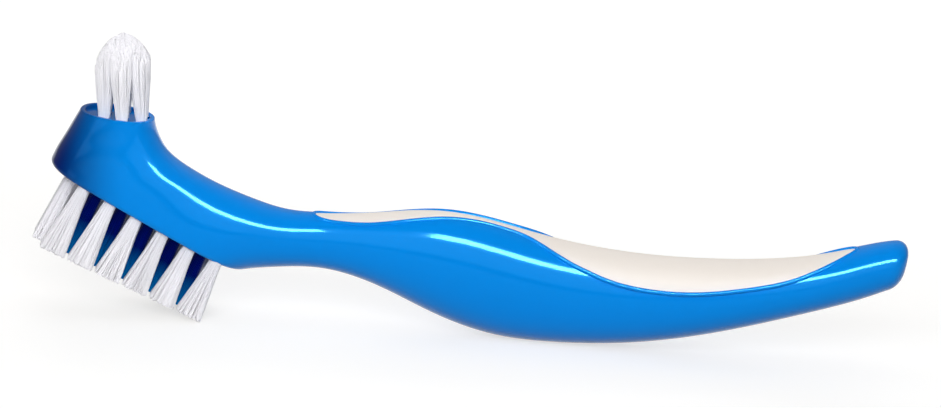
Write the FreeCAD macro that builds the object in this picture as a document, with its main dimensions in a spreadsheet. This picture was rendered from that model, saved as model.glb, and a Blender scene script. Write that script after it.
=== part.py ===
import FreeCAD, Part
import math
import os

import Sketcher
from FreeCAD import Placement, Rotation, Vector

# A two-sided denture brush, lying as it rests on a table: on the rear edge of the large brush and
# on the belly of the handle. +X runs from the head to the tail, +Z is up, and Y is the width.
# Lengths are in millimetres and angles in degrees.

# Sections of the moulded handle, from the rim of the collar round the bend of the head, along the
# neck, over the hump and out to the tail. Each has its upper point and its lower point in the side
# view, its half width and how square its corners are. The head's lower points lie below its flat
# base, which is cut afterwards.
SECTION_FIELDS = ("top_x", "top_z", "foot_x", "foot_z", "wide", "square")
SECTIONS = {
    "collar_rim": (-62.75, 38.2, -77.05, 39.2, 6.5, 0.76),
    "collar_waist": (-62.25, 36.2, -78.55, 36.2, 6.8, 0.77),
    "collar_foot": (-61.25, 34.0, -79.95, 33.4, 7.0, 0.79),
    "head_brow": (-59.65, 31.7, -81.55, 30.2, 7.3, 0.81),
    "head_nose": (-57.05, 29.6, -83.45, 26.4, 7.5, 0.83),
    "head_front": (-53.65, 27.7, -85.65, 21.0, 7.7, 0.85),
    "head_middle": (-49.65, 25.9, -78.85, 9.0, 7.8, 0.86),
    "head_rear": (-45.25, 24.3, -61.85, 5.4, 7.6, 0.84),
    "heel": (-41.05, 23.0, -46.65, 8.9, 6.9, 0.80),
    "neck_front": (-35.45, 21.9, -37.25, 10.6, 5.7, 0.77),
    "neck_thin": (-27.75, 22.0, -27.95, 11.0, 5.1, 0.76),
    "grip_front": (-18.35, 23.0, -17.35, 8.5, 6.0, 0.76),
    "hump_front": (-9.05, 24.2, -6.65, 4.1, 7.2, 0.76),
    "hump_crest": (1.75, 23.6, 4.55, 0.8, 7.9, 0.77),
    "belly": (15.65, 20.8, 16.65, 0.02, 8.1, 0.78),
    "palm_front": (32.35, 18.9, 31.95, 1.1, 8.0, 0.78),
    "palm_rear": (50.15, 19.1, 48.15, 4.4, 7.7, 0.78),
    "tail_root": (66.65, 21.2, 63.65, 9.1, 6.9, 0.77),
    "tail": (78.75, 24.6, 75.55, 13.2, 5.9, 0.77),
    "tail_end": (85.35, 25.8, 84.05, 17.0, 5.0, 0.76),
}

# Channel in the top of the handle that takes the soft inlay. Each station has its half width and
# the height of its floor.
CHANNEL_FIELDS = ("along", "half", "floor")
CHANNEL = {
    "channel_start": (-31.05, 0.6, 20.2),
    "channel_mouth": (-29.05, 2.4, 20.0),
    "channel_neck": (-23.85, 3.3, 20.0),
    "channel_rise": (-17.85, 3.7, 20.5),
    "channel_hump": (-8.85, 3.2, 21.7),
    "channel_crest": (-0.85, 2.2, 22.0),
    "channel_waist": (7.65, 2.1, 21.2),
    "channel_flare": (12.15, 3.1, 19.8),
    "channel_sweep": (17.15, 5.1, 17.7),
    "channel_flank": (22.15, 6.5, 16.6),
    "channel_palm": (28.15, 7.6, 15.0),
    "channel_middle": (36.15, 8.4, 13.7),
    "channel_deep": (46.15, 8.4, 13.7),
    "channel_heel": (56.65, 7.8, 15.6),
    "channel_tail": (64.15, 6.4, 17.9),
    "channel_taper": (70.15, 4.4, 20.3),
    "channel_point": (73.95, 2.2, 22.0),
    "channel_end": (75.45, 0.6, 22.6),
}

SIZES = {
    # Flat underside of the head, which the large brush stands out of
    "base_front_x": -82.75,
    "base_front_z": 28.4,
    "base_tilt": 26.0,
    "base_cut_reach": 60.0,
    "base_cut_drop": 30.0,
    "base_round": 0.8,
    "tail_round": 2.6,
    # Shallow dish in the top of the collar
    "dish_rim": 0.9,
    "dish_depth": 0.7,
    # Large brush: four rows of tufts, the two inner rows half a pitch ahead of the outer ones
    "flat_pitch": 5.85,
    "flat_first": 5.6,
    "flat_inner_row": 1.8,
    "flat_row_gap": 3.6,
    "flat_bore": 2.5,
    "flat_bore_depth": 4.2,
    "flat_length": 14.75,
    "flat_trim_tilt": 4.55,
    "flat_tuft_lean": 3.5,
    "flat_fan_seat": 0.1,
    "outer_tip": 2.65,
    "inner_tip": 1.72,
    # Small brush: six tufts round a middle one, trimmed to a point
    "small_offset": 1.2,
    "small_lean": -4.6,
    "small_ring": 4.2,
    "small_bore": 2.3,
    "small_bore_depth": 4.5,
    "small_bore_start": 3.0,
    "small_fan_start": 1.0,
    "small_swell": 1.95,
    "small_swell_height": 9.0,
    "small_shoulder_height": 15.9,
    "small_point": 0.4,
    "small_peak": 16.9,
    "small_trim_radius": 10.0,
    "small_trim_shift": 0.3,
    "small_edge_height": 8.6,
    "small_edge_reach": 6.2,
    "trim_clear": 4.0,
    # Metal anchor plate at the bottom of each hole
    "anchor_thick": 0.25,
    "anchor_height": 1.6,
    "fit_gap": 0.05,
    # Soft inlay
    "channel_roof": 40.0,
    "inlay_gap": 0.06,
    "inlay_sink": 0.25,
}
COUNTS = {
    "flat_columns": 6,
    "small_outer_count": 6,
}
ROUND = 0.71
DRAWN = 5.0
# Sides of the bundles that stand for the round tufts
TUFT_SIDES = 12

# Middle of the small brush on the floor of the dish, from the collar's rim
RIM_RUN = "(Sizes.collar_rim_top_x - Sizes.collar_rim_foot_x)"
RIM_RISE = "(Sizes.collar_rim_top_z - Sizes.collar_rim_foot_z)"
RIM_LENGTH = f"hypot({RIM_RUN}; {RIM_RISE})"
SMALL_X = ("((Sizes.collar_rim_top_x + Sizes.collar_rim_foot_x) / 2"
           f" + (Sizes.small_offset * {RIM_RUN} + Sizes.dish_depth * {RIM_RISE}) / {RIM_LENGTH})")
SMALL_Z = ("((Sizes.collar_rim_top_z + Sizes.collar_rim_foot_z) / 2"
           f" + (Sizes.small_offset * {RIM_RISE} - Sizes.dish_depth * {RIM_RUN}) / {RIM_LENGTH})")

doc = FreeCAD.newDocument("DentureBrush")
sheet = doc.addObject("Spreadsheet::Sheet", "Sizes")
VALUES = {}


def put(alias, value):
    """Write one driving size into the next row of the sheet."""
    row = len(VALUES) + 1
    sheet.set(f"A{row}", alias)
    sheet.set(f"B{row}", str(value))
    sheet.setAlias(f"B{row}", alias)
    VALUES[alias] = value


def fill_sheet():
    for table, fields in ((SECTIONS, SECTION_FIELDS), (CHANNEL, CHANNEL_FIELDS)):
        for station, row_values in table.items():
            for field, value in zip(fields, row_values):
                put(f"{station}_{field}", value)
    for alias, value in {**SIZES, **COUNTS}.items():
        put(alias, value)
    doc.recompute()


def origin_plane(body, role):
    for feature in body.Origin.OriginFeatures:
        if feature.Role == role:
            return feature
    raise ValueError(role)


def new_body(name):
    body = doc.addObject("PartDesign::Body", name)
    body.Label = name
    return body


def new_sketch(body, name, role, axis=(0, 0, 1), **bound):
    """Sketch on one of the body's own origin planes, with its offset bound to the sheet."""
    sketch = body.newObject("Sketcher::SketchObject", name)
    sketch.AttachmentSupport = (origin_plane(body, role), [""])
    sketch.MapMode = "FlatFace"
    sketch.AttachmentOffset = Placement(Vector(0, 0, 0), Rotation(Vector(*axis), 1))
    paths = {"x": "Base.x", "y": "Base.y", "z": "Base.z", "turn": "Rotation.Angle"}
    for key, path in paths.items():
        sketch.setExpression("AttachmentOffset." + path, bound.get(key, "0"))
    return sketch


def bind(sketch, constraint, expression):
    index = sketch.addConstraint(constraint)
    sketch.setExpression(f"Constraints[{index}]", expression)


def bind_point(sketch, element, spot, across, upright):
    """Place a point of the sketch by two lengths from the sketch's origin."""
    for kind, expression, axis in (("DistanceX", across, -2), ("DistanceY", upright, -1)):
        if expression == "0":
            sketch.addConstraint(Sketcher.Constraint("PointOnObject", element, spot, axis))
        else:
            start = DRAWN if not expression.startswith("-") else -DRAWN
            bind(sketch, Sketcher.Constraint(kind, -1, 1, element, spot, start), expression)


def oval(sketch, wide, tall, square, across="0"):
    """Closed smooth oval drawn by eight poles that are bound to the sheet."""
    reach = f"6 / (4 + 2 * ({square}))"
    ring = [(1, 0), (ROUND, ROUND), (0, 1), (-ROUND, ROUND),
            (-1, 0), (-ROUND, -ROUND), (0, -1), (ROUND, -ROUND)]
    poles = [Vector(p * DRAWN, q * DRAWN, 0) for p, q in ring]
    curve = Part.BSplineCurve()
    curve.buildFromPolesMultsKnots(poles, None, None, True, 3)
    drawn = sketch.addGeometry(curve, False)
    for number, (p, q) in enumerate(ring):
        mark = sketch.addGeometry(Part.Circle(poles[number], Vector(0, 0, 1), 1), True)
        sketch.addConstraint(Sketcher.Constraint(
            "InternalAlignment:Sketcher::BSplineControlPoint", mark, 3, drawn, number))
        sketch.addConstraint(Sketcher.Constraint("Weight", mark, 1.0))
        share = "1" if p * q == 0 else f"({square})"
        spots = []
        for part, length, centre in ((p, wide, across), (q, tall, "0")):
            if part == 0:
                spots.append(centre)
            else:
                sign = "-" if part < 0 else ""
                add = "" if centre == "0" else f" + {centre}"
                spots.append(f"{sign}({length}) * {reach} * {share}{add}")
        bind_point(sketch, mark, 3, *spots)
    return sketch


def section_sketch(body, station, shrink="0"):
    """Oval of one section of the handle, drawn smaller by a given rim."""
    rise = f"Sizes.{station}_top_z - Sizes.{station}_foot_z"
    run = f"Sizes.{station}_top_x - Sizes.{station}_foot_x"
    sketch = new_sketch(
        body, "Section_" + station, "YZ_Plane", axis=(1, 0, 0),
        y=f"(Sizes.{station}_top_z + Sizes.{station}_foot_z) / 2",
        z=f"(Sizes.{station}_top_x + Sizes.{station}_foot_x) / 2",
        turn=f"atan2({run}; {rise})")
    return oval(sketch, f"Sizes.{station}_wide - {shrink}",
                f"hypot({run}; {rise}) / 2 - {shrink}", f"Sizes.{station}_square")


def channel_sketch(body, station, gap="0"):
    """Channel's opening at one station: a flat floor, two upright sides and a flat roof."""
    sketch = new_sketch(body, "Opening_" + station, "YZ_Plane", axis=(1, 0, 0),
                        y=f"Sizes.{station}_floor + {gap}", z=f"Sizes.{station}_along")
    half = f"(Sizes.{station}_half - {gap})"
    rectangle(sketch, f"-{half}", "0", half,
              f"Sizes.channel_roof - Sizes.{station}_floor - {gap}")
    return sketch


def loft(body, kind, name, sketches, straight=False):
    """Smooth loft through sketches, or one with straight sides between them."""
    doc.recompute()
    feature = body.newObject("PartDesign::" + kind, name)
    feature.Profile = sketches[0]
    feature.Sections = sketches[1:]
    feature.Ruled = straight
    body.Tip = feature
    doc.recompute()
    return feature


def pocket(body, name, sketch, length=None, reverse=False):
    """Pocket from a sketch, through everything on both sides where no depth is given."""
    feature = body.newObject("PartDesign::Pocket", name)
    feature.Profile = sketch
    feature.Reversed = reverse
    if length is None:
        feature.Type = 1
        feature.Midplane = True
    else:
        feature.Type = 0
        feature.setExpression("Length", length)
    before = body.Shape.Volume
    body.Tip = feature
    doc.recompute()
    if not feature.Shape.Volume < before - 0.01:
        raise RuntimeError(name + " cuts nothing")
    return feature


def fillet(body, name, radius, wanted):
    """Round the edges of the body's tip that the given test picks."""
    base = body.Tip
    names = [f"Edge{i}" for i, edge in enumerate(base.Shape.Edges, 1) if wanted(edge)]
    feature = body.newObject("PartDesign::Fillet", name)
    feature.Base = (base, names)
    feature.setExpression("Radius", radius)
    body.Tip = feature
    doc.recompute()
    return feature


def circle(sketch, across, upright, radius):
    drawn = sketch.addGeometry(Part.Circle(Vector(DRAWN, DRAWN, 0), Vector(0, 0, 1), 1), False)
    bind_point(sketch, drawn, 3, across, upright)
    bind(sketch, Sketcher.Constraint("Radius", drawn, 1.0), radius)


def rectangle(sketch, left, bottom, right, top):
    """Rectangle between two corners given as expressions."""
    spots = [Vector(-1, -1, 0), Vector(1, -1, 0), Vector(1, 1, 0), Vector(-1, 1, 0)]
    lines = [sketch.addGeometry(Part.LineSegment(a, b), False)
             for a, b in zip(spots, spots[1:] + spots[:1])]
    for line, following in zip(lines, lines[1:] + lines[:1]):
        sketch.addConstraint(Sketcher.Constraint("Coincident", line, 2, following, 1))
    for line, kind in zip(lines, ("Horizontal", "Vertical", "Horizontal", "Vertical")):
        sketch.addConstraint(Sketcher.Constraint(kind, line))
    bind_point(sketch, lines[0], 1, left, bottom)
    bind_point(sketch, lines[2], 1, right, top)


def bundle(sketch, radius, across="0", upright="0"):
    """Regular polygon inside a circle of the given radius: the outline of one tuft."""
    spots = [Vector(DRAWN * math.cos(turn), DRAWN * math.sin(turn), 0)
             for turn in (2 * math.pi * corner / TUFT_SIDES for corner in range(TUFT_SIDES))]
    ring = sketch.addGeometry(Part.Circle(Vector(0, 0, 0), Vector(0, 0, 1), DRAWN), True)
    lines = [sketch.addGeometry(Part.LineSegment(a, b), False)
             for a, b in zip(spots, spots[1:] + spots[:1])]
    for line, following in zip(lines, lines[1:] + lines[:1]):
        sketch.addConstraint(Sketcher.Constraint("Coincident", line, 2, following, 1))
        sketch.addConstraint(Sketcher.Constraint("PointOnObject", line, 1, ring))
    for line in lines[1:]:
        sketch.addConstraint(Sketcher.Constraint("Equal", lines[0], line))
    sketch.addConstraint(Sketcher.Constraint("Horizontal", ring, 3, lines[0], 1))
    bind_point(sketch, ring, 3, across, upright)
    bind(sketch, Sketcher.Constraint("Radius", ring, DRAWN), radius)
    return sketch


def base_sketch(body, name):
    """Sketch in the flat base of the head: its x runs towards the heel, its normal into the head."""
    return new_sketch(body, name, "XY_Plane", axis=(0, 1, 0), x="Sizes.base_front_x",
                      z="Sizes.base_front_z", turn="Sizes.base_tilt")


def small_sketch(body, name, above):
    """Sketch square to the tufts of the small brush, at a height above their roots."""
    return new_sketch(body, name, "XY_Plane", axis=(0, 1, 0),
                      x=f"{SMALL_X} + {above} * sin(Sizes.small_lean)",
                      z=f"{SMALL_Z} + {above} * cos(Sizes.small_lean)", turn="Sizes.small_lean")


def lies_in_plane(edge, origin, normal):
    spots = [edge.valueAt(edge.FirstParameter + share * (edge.LastParameter - edge.FirstParameter))
             for share in (0, 0.3, 0.6, 1)]
    return all(abs((spot - origin).dot(normal)) < 0.01 for spot in spots)


def make_handle():
    """One moulding: lofted grip, neck and head, with the flat base, the dish, the holes and the channel."""
    body = new_body("handle")
    loft(body, "AdditiveLoft", "Moulding", [section_sketch(body, name) for name in SECTIONS])

    trim = new_sketch(body, "BaseTrim", "XZ_Plane", x="Sizes.base_front_x",
                      y="Sizes.base_front_z", turn="-Sizes.base_tilt")
    rectangle(trim, "-Sizes.base_cut_drop", "-Sizes.base_cut_drop", "Sizes.base_cut_reach", "0")
    pocket(body, "FlatBase", trim)

    tilt = math.radians(SIZES["base_tilt"])
    base_origin = Vector(SIZES["base_front_x"], 0, SIZES["base_front_z"])
    base_normal = Vector(math.sin(tilt), 0, math.cos(tilt))
    fillet(body, "BaseEdge", "Sizes.base_round",
           lambda edge: lies_in_plane(edge, base_origin, base_normal))

    end_top = Vector(SECTIONS["tail_end"][0], 0, SECTIONS["tail_end"][1])
    end_foot = Vector(SECTIONS["tail_end"][2], 0, SECTIONS["tail_end"][3])
    end_normal = (end_top - end_foot).cross(Vector(0, 1, 0)).normalize()
    fillet(body, "TailNub", "Sizes.tail_round",
           lambda edge: lies_in_plane(edge, end_top, end_normal))

    dish = section_sketch(body, "collar_rim", "Sizes.dish_rim")
    pocket(body, "Dish", dish, "Sizes.dish_depth", reverse=True)

    holes = base_sketch(body, "FlatHoles")
    for side in ("", "-"):
        circle(holes, "Sizes.flat_first", f"{side}Sizes.flat_inner_row", "Sizes.flat_bore / 2")
        circle(holes, "Sizes.flat_first + Sizes.flat_pitch / 2",
               f"{side}(Sizes.flat_inner_row + Sizes.flat_row_gap)", "Sizes.flat_bore / 2")
    first_holes = pocket(body, "FirstFlatHoles", holes, "Sizes.flat_bore_depth", reverse=True)
    pattern = body.newObject("PartDesign::LinearPattern", "FlatHoleRows")
    pattern.Originals = [first_holes]
    pattern.Direction = (holes, ["H_Axis"])
    pattern.setExpression("Length", "Sizes.flat_pitch * (Sizes.flat_columns - 1)")
    pattern.setExpression("Occurrences", "Sizes.flat_columns")
    body.Tip = pattern
    doc.recompute()

    start = "Sizes.small_bore_start"
    middle = small_sketch(body, "MiddleHole", start)
    circle(middle, "0", "0", "Sizes.small_bore / 2")
    depth = "Sizes.small_bore_depth + Sizes.small_bore_start"
    pocket(body, "MiddleSmallHole", middle, depth)
    ring = small_sketch(body, "RingHole", start)
    circle(ring, "0", "Sizes.small_ring", "Sizes.small_bore / 2")
    ring_hole = pocket(body, "RingSmallHole", ring, depth)
    polar = body.newObject("PartDesign::PolarPattern", "SmallHoleRing")
    polar.Originals = [ring_hole]
    polar.Axis = (ring, ["N_Axis"])
    polar.Angle = 360
    polar.setExpression("Occurrences", "Sizes.small_outer_count")
    body.Tip = polar
    doc.recompute()

    loft(body, "SubtractiveLoft", "InlayChannel", [channel_sketch(body, name) for name in CHANNEL])
    return body


def make_inlay():
    """Soft grip: the part of a slightly smaller handle form that lies in the channel."""
    form = new_body("inlay_form")
    grip = list(SECTIONS)[list(SECTIONS).index("neck_front"):]
    loft(form, "AdditiveLoft", "GripForm",
         [section_sketch(form, name, "Sizes.inlay_sink") for name in grip])
    filling = new_body("channel_form")
    loft(filling, "AdditiveLoft", "ChannelForm",
         [channel_sketch(filling, name, "Sizes.inlay_gap") for name in CHANNEL])
    inlay = doc.addObject("Part::Common", "grip_inlay")
    inlay.Base = form
    inlay.Tool = filling
    inlay.Label = "grip_inlay"
    doc.recompute()
    return inlay


def tuft_body(name, x, z, turn, y="0"):
    """Body whose own frame has its origin at the mouth of a hole and its z along the hole."""
    body = new_body(name)
    body.Placement = Placement(Vector(0, 0, 0), Rotation(Vector(0, 1, 0), 1))
    for path, expression in (("Base.x", x), ("Base.y", y), ("Base.z", z), ("Rotation.Angle", turn)):
        body.setExpression("Placement." + path, expression)
    return body


def tapered_pad(body, name, sketch, length, growth, reverse=False):
    """Pad of a tuft's outline whose flat sides open out, so that it grows by a given radius."""
    pad = body.newObject("PartDesign::Pad", name)
    pad.Profile = sketch
    pad.Reversed = reverse
    pad.setExpression("Length", length)
    body.Tip = pad
    doc.recompute()
    start = sketch.Placement.Base
    along = sketch.Placement.Rotation.multVec(Vector(0, 0, 1))
    sides, ends = [], []
    for number, face in enumerate(pad.Shape.Faces, 1):
        if abs(face.normalAt(0, 0).dot(along)) < 0.01:
            sides.append(f"Face{number}")
        elif abs((face.CenterOfMass - start).dot(along)) < 0.01:
            ends.append(f"Face{number}")
    draft = body.newObject("PartDesign::Draft", name + "Draft")
    draft.Base = (pad, sides)
    draft.NeutralPlane = (pad, ends)
    draft.Reversed = not reverse
    draft.setExpression("Angle", f"atan({growth} * cos(180 / {TUFT_SIDES}) / ({length}))")
    body.Tip = draft
    doc.recompute()
    if not draft.Shape.Volume > pad.Shape.Volume:
        raise RuntimeError(name + " does not open out")


def root_plug(body, radius, depth, slot_width, across="0", upright="0", start="0",
              downwards=False):
    """Folded root of a tuft, with the slot that straddles its anchor plate."""
    plug = bundle(new_sketch(body, "Root", "XY_Plane", x=across, y=upright, z=start), radius)
    pad = body.newObject("PartDesign::Pad", "RootPlug")
    pad.Profile = plug
    pad.Reversed = downwards
    pad.setExpression("Length", f"{depth} - Sizes.fit_gap + {start}")
    body.Tip = pad
    doc.recompute()
    sign = "-" if downwards else ""
    slot = new_sketch(body, "Slot", "XY_Plane", z=f"{sign}({depth} - Sizes.fit_gap)")
    half_thick = "(Sizes.anchor_thick / 2 + Sizes.fit_gap)"
    middle = "" if upright == "0" else f"{upright} "
    rectangle(slot, f"{across} - {slot_width}", f"{middle}- {half_thick}",
              f"{across} + {slot_width}", f"{middle}+ {half_thick}")
    pocket(body, "AnchorSlot", slot, "Sizes.anchor_height + Sizes.fit_gap", reverse=downwards)


def make_flat_tuft(name, column, lead, row, tip):
    """Tuft of the large brush: a root that fans out as far as the sloping trim line."""
    along = f"(Sizes.flat_first + {lead} + {column} * Sizes.flat_pitch)"
    body = tuft_body(name, f"Sizes.base_front_x + {along} * cos(Sizes.base_tilt)",
                     f"Sizes.base_front_z - {along} * sin(Sizes.base_tilt)",
                     "Sizes.base_tilt", y=row)
    radius = "(Sizes.flat_bore / 2 - Sizes.fit_gap)"
    length = f"(Sizes.flat_length - {along} * tan(Sizes.flat_trim_tilt))"
    lean, seat = "Sizes.flat_tuft_lean", "Sizes.flat_fan_seat"
    mouth = bundle(new_sketch(body, "Mouth", "XY_Plane", axis=(0, 1, 0), turn="-" + lean,
                              x=f"-{seat} * sin({lean})", z=f"{seat} * cos({lean})"), radius)
    uncut = f"({length} / cos({lean}) + {seat} + Sizes.trim_clear)"
    growth = f"(Sizes.{tip}_tip - {radius}) * {uncut} / ({uncut} - Sizes.trim_clear)"
    tapered_pad(body, "Fan", mouth, uncut, growth, reverse=True)
    root_plug(body, radius, "Sizes.flat_bore_depth", "Sizes.flat_bore")
    trim = new_sketch(body, "Trim", "XZ_Plane", x=f"{length} * tan(Sizes.flat_tuft_lean)",
                      y=f"-{length}", turn="Sizes.flat_trim_tilt")
    reach = "Sizes.trim_clear"
    rectangle(trim, f"-{reach}", f"-2 * {reach}", reach, "0")
    pocket(body, "TipTrim", trim)
    return body


def make_small_tuft(name, number):
    """Tuft of the small brush: the middle one ends in a point, those of the ring slope outwards."""
    body = tuft_body(name, SMALL_X, SMALL_Z, "Sizes.small_lean")
    across, upright = small_spot(number)
    radius = "(Sizes.small_bore / 2 - Sizes.fit_gap)"
    start, swell = "Sizes.small_fan_start", "Sizes.small_swell_height"

    def outline(label, height, size):
        return bundle(new_sketch(body, label, "XY_Plane", x=across, y=upright, z=height), size)

    tapered_pad(body, "Fan", outline("Mouth", start, radius), f"({swell} - {start})",
                f"(Sizes.small_swell - {radius})")
    top = "Sizes.small_shoulder_height" if number is None else "Sizes.small_peak"
    upper = body.newObject("PartDesign::Pad", "Upper")
    upper.Profile = outline("Swell", swell, "Sizes.small_swell")
    upper.setExpression("Length", f"{top} - {swell}")
    body.Tip = upper
    doc.recompute()
    root_plug(body, radius, "Sizes.small_bore_depth", "Sizes.small_bore", across, upright,
              start=start, downwards=True)
    if number is None:
        loft(body, "AdditiveLoft", "Point",
             [outline("Shoulder", top, "Sizes.small_swell"),
              outline("Tip", "Sizes.small_peak", "Sizes.small_point")], straight=True)
        return body
    trim = new_sketch(body, "Trim", "XZ_Plane", axis=(0, 1, 0), x="Sizes.small_trim_shift",
                      turn=small_turn(number))
    peak, edge = Vector(0, 17, 0), Vector(6, 9, 0)
    outside, above, roof = Vector(12, 9, 0), Vector(12, 24, 0), Vector(0, 24, 0)
    spots = [edge, outside, above, roof, peak]
    lines = [trim.addGeometry(Part.LineSegment(a, b), False) for a, b in zip(spots, spots[1:])]
    dome = trim.addGeometry(Part.Arc(peak, Vector(3.7, 14.2, 0), edge), False)
    peak_end, edge_end = (1, 2) if trim.getPoint(dome, 1).x < 1 else (2, 1)
    for line, following in zip(lines, lines[1:]):
        trim.addConstraint(Sketcher.Constraint("Coincident", line, 2, following, 1))
    trim.addConstraint(Sketcher.Constraint("Coincident", lines[-1], 2, dome, peak_end))
    trim.addConstraint(Sketcher.Constraint("Coincident", lines[0], 1, dome, edge_end))
    beyond = "Sizes.small_edge_reach + Sizes.trim_clear"
    high = "Sizes.small_peak + 2 * Sizes.trim_clear"
    for line, x, y in zip(lines, ("Sizes.small_edge_reach", beyond, beyond, "0"),
                          ("Sizes.small_edge_height", "Sizes.small_edge_height", high, high)):
        bind_point(trim, line, 1, x, y)
    bind_point(trim, lines[-1], 2, "0", "Sizes.small_peak")
    bind(trim, Sketcher.Constraint("Radius", dome, 10.0), "Sizes.small_trim_radius")
    pocket(body, "PointedTrim", trim)
    return body


def plate(name, x, y, z, turn, width):
    """One anchor plate, given the place of its lower middle and the turn of its hole."""
    box = doc.addObject("Part::Box", name)
    box.Placement = Placement(Vector(0, 0, 0), Rotation(Vector(0, 1, 0), 1))
    box.setExpression("Length", width)
    box.setExpression("Width", "Sizes.anchor_thick")
    box.setExpression("Height", "Sizes.anchor_height")
    box.setExpression("Placement.Base.x", f"{x} - {width} / 2 * cos({turn})")
    box.setExpression("Placement.Base.y", f"{y} - Sizes.anchor_thick / 2")
    box.setExpression("Placement.Base.z", f"{z} + {width} / 2 * sin({turn})")
    box.setExpression("Placement.Rotation.Angle", turn)
    return box


def group(name, members):
    compound = doc.addObject("Part::Compound", name)
    compound.Links = members
    compound.Label = name
    return compound


def make_flat_anchors():
    """Anchor plates of the large brush, one standing at the bottom of each hole."""
    foot = "(Sizes.flat_bore_depth - Sizes.fit_gap - Sizes.anchor_height)"
    width = "(Sizes.flat_bore - 2 * Sizes.fit_gap)"
    turn = "Sizes.base_tilt"
    plates = []
    for column in range(COUNTS["flat_columns"]):
        for lead, row in (("0", "Sizes.flat_inner_row"),
                          ("Sizes.flat_pitch / 2", "(Sizes.flat_inner_row + Sizes.flat_row_gap)")):
            along = f"(Sizes.flat_first + {lead} + {column} * Sizes.flat_pitch)"
            for sign in ("-", ""):
                plates.append(plate(
                    "FlatPlate", f"Sizes.base_front_x + {along} * cos({turn}) + {foot} * sin({turn})",
                    sign + row, f"Sizes.base_front_z - {along} * sin({turn}) + {foot} * cos({turn})",
                    turn, width))
    return group("flat_side_anchors", plates)


def small_turn(number):
    """Direction from the middle of the small brush to a tuft of its ring."""
    return f"(90 + 360 * {number} / Sizes.small_outer_count)"


def small_spot(number):
    """Place of a tuft of the small brush in the plane of the roots; the middle one has no number."""
    if number is None:
        return "0", "0"
    angle = small_turn(number)
    return f"Sizes.small_ring * cos({angle})", f"Sizes.small_ring * sin({angle})"


def make_small_anchors():
    """Anchor plates of the small brush."""
    foot = "(Sizes.fit_gap - Sizes.small_bore_depth)"
    width = "(Sizes.small_bore - 2 * Sizes.fit_gap)"
    turn = "Sizes.small_lean"
    plates = []
    for number in [None, *range(COUNTS["small_outer_count"])]:
        across, upright = small_spot(number)
        plates.append(plate(
            "SmallPlate", f"{SMALL_X} + {across} * cos({turn}) + {foot} * sin({turn})", upright,
            f"{SMALL_Z} - {across} * sin({turn}) + {foot} * cos({turn})", turn, width))
    return group("small_side_anchors", plates)


def make_flat_brush():
    """All tufts of the large brush: two outer rows, two inner rows, and the front pair between them."""
    outer_row = "(Sizes.flat_inner_row + Sizes.flat_row_gap)"
    tufts = []
    for column in range(COUNTS["flat_columns"]):
        for side, sign in (("near", "-"), ("far", "")):
            inner_name = f"inner_{side}_{column}" if column else f"front_{side}"
            tufts.append(make_flat_tuft(f"flat_tuft_outer_{side}_{column + 1}", column,
                                        "Sizes.flat_pitch / 2", sign + outer_row, "outer"))
            tufts.append(make_flat_tuft(f"flat_tuft_{inner_name}", column,
                                        "0", f"{sign}Sizes.flat_inner_row", "inner"))
    return tufts


def make_small_brush():
    tufts = [make_small_tuft("small_tuft_middle", None)]
    for number in range(COUNTS["small_outer_count"]):
        tufts.append(make_small_tuft(f"small_tuft_ring_{number + 1}", number))
    return tufts


def write_nodes(nodes):
    for item in doc.Objects:
        if "Invalid" in item.State or "Error" in item.State:
            raise RuntimeError(f"{item.Name}: {item.State}")
    os.makedirs("parts", exist_ok=True)
    for node in nodes:
        if node.Shape.isNull() or not node.Shape.isValid():
            raise RuntimeError(node.Label + " has no valid shape")
        print(node.Label, round(node.Shape.Volume, 1), "mm3,", len(node.Shape.Solids), "solid")
        node.Shape.exportStep(f"parts/{node.Label}.step")


fill_sheet()
pieces = [make_handle(), make_inlay(), *make_flat_brush(), *make_small_brush(),
          make_flat_anchors(), make_small_anchors()]
doc.recompute()
write_nodes(pieces)
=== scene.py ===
"""Visual model of a two-sided denture brush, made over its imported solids.

Sizes are written in millimetres and made metres where a mesh is built.
"""
import logging
import math
import random
from abc import ABC, abstractmethod
from collections.abc import Callable, Iterator
from contextlib import contextmanager
from dataclasses import dataclass
from enum import Enum

import bmesh
import bpy
from mathutils import Matrix, Vector


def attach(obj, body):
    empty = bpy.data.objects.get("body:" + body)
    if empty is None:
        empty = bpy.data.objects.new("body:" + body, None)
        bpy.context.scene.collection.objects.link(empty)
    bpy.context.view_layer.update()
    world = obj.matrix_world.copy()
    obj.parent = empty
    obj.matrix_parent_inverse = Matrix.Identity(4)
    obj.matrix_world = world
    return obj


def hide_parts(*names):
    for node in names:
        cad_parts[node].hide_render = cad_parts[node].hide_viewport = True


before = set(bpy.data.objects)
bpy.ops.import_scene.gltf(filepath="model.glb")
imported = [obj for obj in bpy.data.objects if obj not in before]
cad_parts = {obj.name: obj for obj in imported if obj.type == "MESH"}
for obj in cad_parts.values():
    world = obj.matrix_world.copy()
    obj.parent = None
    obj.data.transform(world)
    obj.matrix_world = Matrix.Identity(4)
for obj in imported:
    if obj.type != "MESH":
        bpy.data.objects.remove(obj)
LOG = logging.getLogger("denture_brush")
MM = 0.001
TINY = 1e-6
PHOTO_WIDTH_PX = 941
BRISTLE_SEED = 11
# Direction that points are sorted along, askew so that no two points tie
SORT_WAY = Vector((1.0, 0.37, 0.11))
GOLDEN_ANGLE = math.pi * (3 - math.sqrt(5))
# A subdivided surface lies at the weighted mean of a control point and its two neighbours
OWN_WEIGHT = 4
WHOLE_WEIGHT = 6
SETTLING_ROUNDS = 30
# The eight control points of an oval: to which side of its middle, and above or below it
OVAL_POINTS = ((1, 0), (1, 1), (0, 1), (-1, 1), (-1, 0), (-1, -1), (0, -1), (1, -1))
# Colour sockets of a Mix node, whose names repeat for each type of data
MIX_FIRST = 6
MIX_SECOND = 7
MIX_RESULT = 2


class Element(Enum):
    """Elements of a mesh that can be picked, with Blender's name of their select mode."""

    EDGES = "EDGE"
    FACES = "FACE"


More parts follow.
